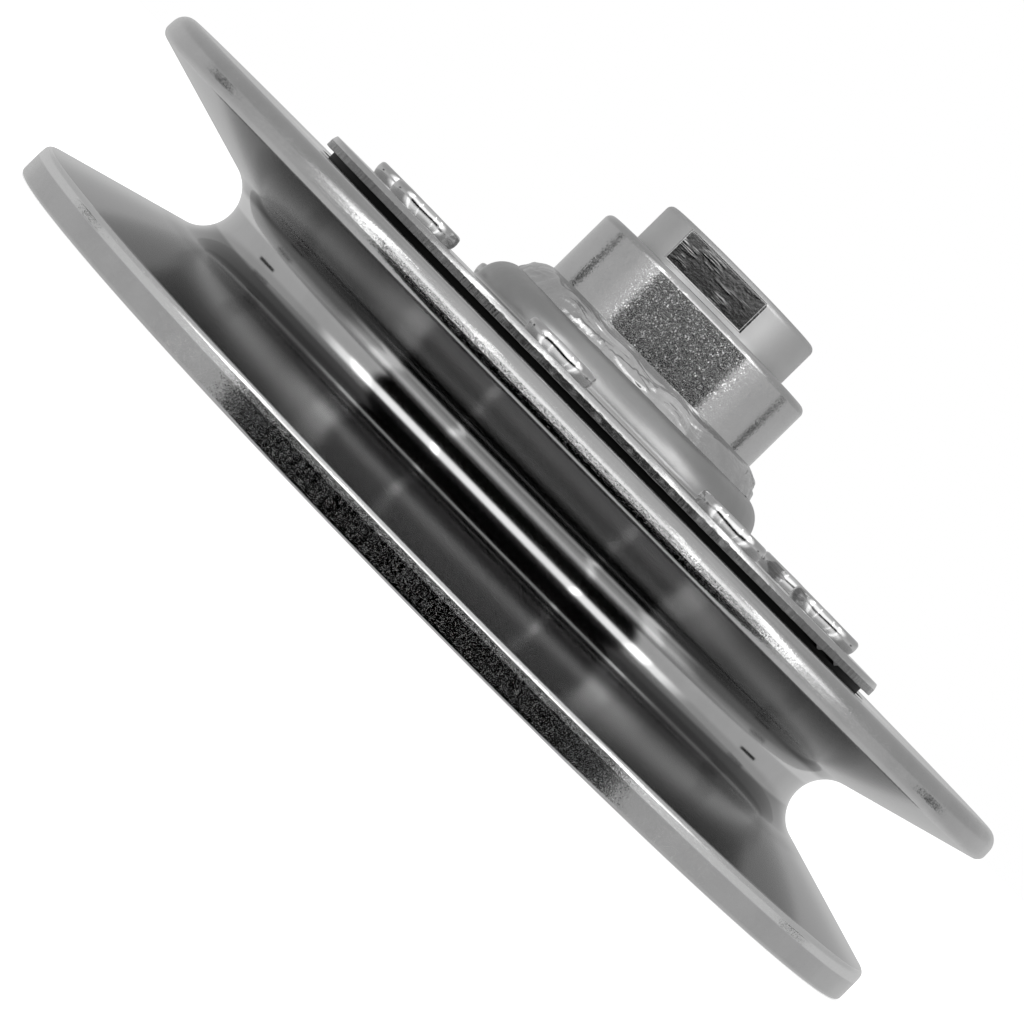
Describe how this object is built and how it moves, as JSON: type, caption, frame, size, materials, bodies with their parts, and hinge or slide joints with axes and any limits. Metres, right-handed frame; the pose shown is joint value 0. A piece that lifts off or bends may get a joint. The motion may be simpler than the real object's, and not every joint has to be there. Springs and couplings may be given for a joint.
{
  "type": "idler pulley",
  "caption": "V-belt idler pulley: grooved sheave riveted to a domed flange plate, welded bearing housing, sealed ball bearings and a fixed spindle with wrench flats.",
  "frame": {"origin": "on the axis of rotation, in the middle plane of the belt groove", "axes": "+Z along the axis of rotation, towards the spindle head; the wrench flats face +Y and -Y"},
  "size_m": [0.165, 0.165, 0.0623],
  "materials": {
    "plated_sheave": "zinc plated, turned groove, cast rims",
    "plated_sheet": "zinc plated satin sheet, sheared edge",
    "plated_weld": "zinc plated rippled weld",
    "plated_housing": "zinc plated, fine blasted skin",
    "plated_rivets": "bright zinc plated",
    "plated_spindle": "zinc plated, smooth, milled flats",
    "spacer_steel": "turned steel",
    "spring_steel": "phosphated spring steel",
    "bearing_steel": "ground and polished",
    "cage_polyamide": "moulded polyamide",
    "seal_rubber": "moulded nitrile rubber"
  },
  "bodies": {
    "spindle": {"spindle": "plated_spindle", "inner_spacer": "spacer_steel", "spindle_retaining_ring": "spring_steel", "lower_bearing_inner_ring": "bearing_steel", "upper_bearing_inner_ring": "bearing_steel"},
    "wheel": {"sheave": "plated_sheave", "flange_plate": "plated_sheet", "weld_bead": "plated_weld", "bearing_housing": "plated_housing", "plate_rivets": "plated_rivets", "outer_spacer": "spacer_steel", "housing_retaining_ring": "spring_steel", "lower_bearing_outer_ring": "bearing_steel", "upper_bearing_outer_ring": "bearing_steel", "lower_bearing_lower_seal": "seal_rubber", "lower_bearing_upper_seal": "seal_rubber", "upper_bearing_lower_seal": "seal_rubber", "upper_bearing_upper_seal": "seal_rubber"},
    "lower_bearing_cage": {"lower_bearing_cage": "cage_polyamide"},
    "lower_bearing_ball_1": {"lower_bearing_ball_1": "bearing_steel"},
    "lower_bearing_ball_2": {"lower_bearing_ball_2": "bearing_steel"},
    "lower_bearing_ball_3": {"lower_bearing_ball_3": "bearing_steel"},
    "lower_bearing_ball_4": {"lower_bearing_ball_4": "bearing_steel"},
    "lower_bearing_ball_5": {"lower_bearing_ball_5": "bearing_steel"},
    "lower_bearing_ball_6": {"lower_bearing_ball_6": "bearing_steel"},
    "lower_bearing_ball_7": {"lower_bearing_ball_7": "bearing_steel"},
    "lower_bearing_ball_8": {"lower_bearing_ball_8": "bearing_steel"},
    "upper_bearing_cage": {"upper_bearing_cage": "cage_polyamide"},
    "upper_bearing_ball_1": {"upper_bearing_ball_1": "bearing_steel"},
    "upper_bearing_ball_2": {"upper_bearing_ball_2": "bearing_steel"},
    "upper_bearing_ball_3": {"upper_bearing_ball_3": "bearing_steel"},
    "upper_bearing_ball_4": {"upper_bearing_ball_4": "bearing_steel"},
    "upper_bearing_ball_5": {"upper_bearing_ball_5": "bearing_steel"},
    "upper_bearing_ball_6": {"upper_bearing_ball_6": "bearing_steel"},
    "upper_bearing_ball_7": {"upper_bearing_ball_7": "bearing_steel"},
    "upper_bearing_ball_8": {"upper_bearing_ball_8": "bearing_steel"}
  },
  "joints": [
    {"name": "wheel_spin", "type": "hinge", "parent": "spindle", "child": "wheel", "pos_m": [0, 0, 0], "axis": [0, 0, 1], "continuous": true},
    {"name": "lower_cage_turn", "type": "hinge", "parent": "spindle", "child": "lower_bearing_cage", "pos_m": [0, 0, 0], "axis": [0, 0, 1], "continuous": true},
    {"name": "lower_ball_1_roll", "type": "hinge", "parent": "lower_bearing_cage", "child": "lower_bearing_ball_1", "pos_m": [0.0125, 0, 0], "axis": [0, 0, 1], "continuous": true},
    {"name": "lower_ball_2_roll", "type": "hinge", "parent": "lower_bearing_cage", "child": "lower_bearing_ball_2", "pos_m": [0.00884, 0.00884, 0], "axis": [0, 0, 1], "continuous": true},
    {"name": "lower_ball_3_roll", "type": "hinge", "parent": "lower_bearing_cage", "child": "lower_bearing_ball_3", "pos_m": [0, 0.0125, 0], "axis": [0, 0, 1], "continuous": true},
    {"name": "lower_ball_4_roll", "type": "hinge", "parent": "lower_bearing_cage", "child": "lower_bearing_ball_4", "pos_m": [-0.00884, 0.00884, 0], "axis": [0, 0, 1], "continuous": true},
    {"name": "lower_ball_5_roll", "type": "hinge", "parent": "lower_bearing_cage", "child": "lower_bearing_ball_5", "pos_m": [-0.0125, 0, 0], "axis": [0, 0, 1], "continuous": true},
    {"name": "lower_ball_6_roll", "type": "hinge", "parent": "lower_bearing_cage", "child": "lower_bearing_ball_6", "pos_m": [-0.00884, -0.00884, 0], "axis": [0, 0, 1], "continuous": true},
    {"name": "lower_ball_7_roll", "type": "hinge", "parent": "lower_bearing_cage", "child": "lower_bearing_ball_7", "pos_m": [0, -0.0125, 0], "axis": [0, 0, 1], "continuous": true},
    {"name": "lower_ball_8_roll", "type": "hinge", "parent": "lower_bearing_cage", "child": "lower_bearing_ball_8", "pos_m": [0.00884, -0.00884, 0], "axis": [0, 0, 1], "continuous": true},
    {"name": "upper_cage_turn", "type": "hinge", "parent": "spindle", "child": "upper_bearing_cage", "pos_m": [0, 0, 0.03099], "axis": [0, 0, 1], "continuous": true},
    {"name": "upper_ball_1_roll", "type": "hinge", "parent": "upper_bearing_cage", "child": "upper_bearing_ball_1", "pos_m": [0.0125, 0, 0.03099], "axis": [0, 0, 1], "continuous": true},
    {"name": "upper_ball_2_roll", "type": "hinge", "parent": "upper_bearing_cage", "child": "upper_bearing_ball_2", "pos_m": [0.00884, 0.00884, 0.03099], "axis": [0, 0, 1], "continuous": true},
    {"name": "upper_ball_3_roll", "type": "hinge", "parent": "upper_bearing_cage", "child": "upper_bearing_ball_3", "pos_m": [0, 0.0125, 0.03099], "axis": [0, 0, 1], "continuous": true},
    {"name": "upper_ball_4_roll", "type": "hinge", "parent": "upper_bearing_cage", "child": "upper_bearing_ball_4", "pos_m": [-0.00884, 0.00884, 0.03099], "axis": [0, 0, 1], "continuous": true},
    {"name": "upper_ball_5_roll", "type": "hinge", "parent": "upper_bearing_cage", "child": "upper_bearing_ball_5", "pos_m": [-0.0125, 0, 0.03099], "axis": [0, 0, 1], "continuous": true},
    {"name": "upper_ball_6_roll", "type": "hinge", "parent": "upper_bearing_cage", "child": "upper_bearing_ball_6", "pos_m": [-0.00884, -0.00884, 0.03099], "axis": [0, 0, 1], "continuous": true},
    {"name": "upper_ball_7_roll", "type": "hinge", "parent": "upper_bearing_cage", "child": "upper_bearing_ball_7", "pos_m": [0, -0.0125, 0.03099], "axis": [0, 0, 1], "continuous": true},
    {"name": "upper_ball_8_roll", "type": "hinge", "parent": "upper_bearing_cage", "child": "upper_bearing_ball_8", "pos_m": [0.00884, -0.00884, 0.03099], "axis": [0, 0, 1], "continuous": true}
  ],
  "couplings": [
    {"joint": "lower_cage_turn", "follows": "wheel_spin", "ratio": 0.61906},
    {"joint": "lower_ball_1_roll", "follows": "wheel_spin", "ratio": 1.9807},
    {"joint": "lower_ball_2_roll", "follows": "wheel_spin", "ratio": 1.9807},
    {"joint": "lower_ball_3_roll", "follows": "wheel_spin", "ratio": 1.9807},
    {"joint": "lower_ball_4_roll", "follows": "wheel_spin", "ratio": 1.9807},
    {"joint": "lower_ball_5_roll", "follows": "wheel_spin", "ratio": 1.9807},
    {"joint": "lower_ball_6_roll", "follows": "wheel_spin", "ratio": 1.9807},
    {"joint": "lower_ball_7_roll", "follows": "wheel_spin", "ratio": 1.9807},
    {"joint": "lower_ball_8_roll", "follows": "wheel_spin", "ratio": 1.9807},
    {"joint": "upper_cage_turn", "follows": "wheel_spin", "ratio": 0.61906},
    {"joint": "upper_ball_1_roll", "follows": "wheel_spin", "ratio": 1.9807},
    {"joint": "upper_ball_2_roll", "follows": "wheel_spin", "ratio": 1.9807},
    {"joint": "upper_ball_3_roll", "follows": "wheel_spin", "ratio": 1.9807},
    {"joint": "upper_ball_4_roll", "follows": "wheel_spin", "ratio": 1.9807},
    {"joint": "upper_ball_5_roll", "follows": "wheel_spin", "ratio": 1.9807},
    {"joint": "upper_ball_6_roll", "follows": "wheel_spin", "ratio": 1.9807},
    {"joint": "upper_ball_7_roll", "follows": "wheel_spin", "ratio": 1.9807},
    {"joint": "upper_ball_8_roll", "follows": "wheel_spin", "ratio": 1.9807}
  ]
}
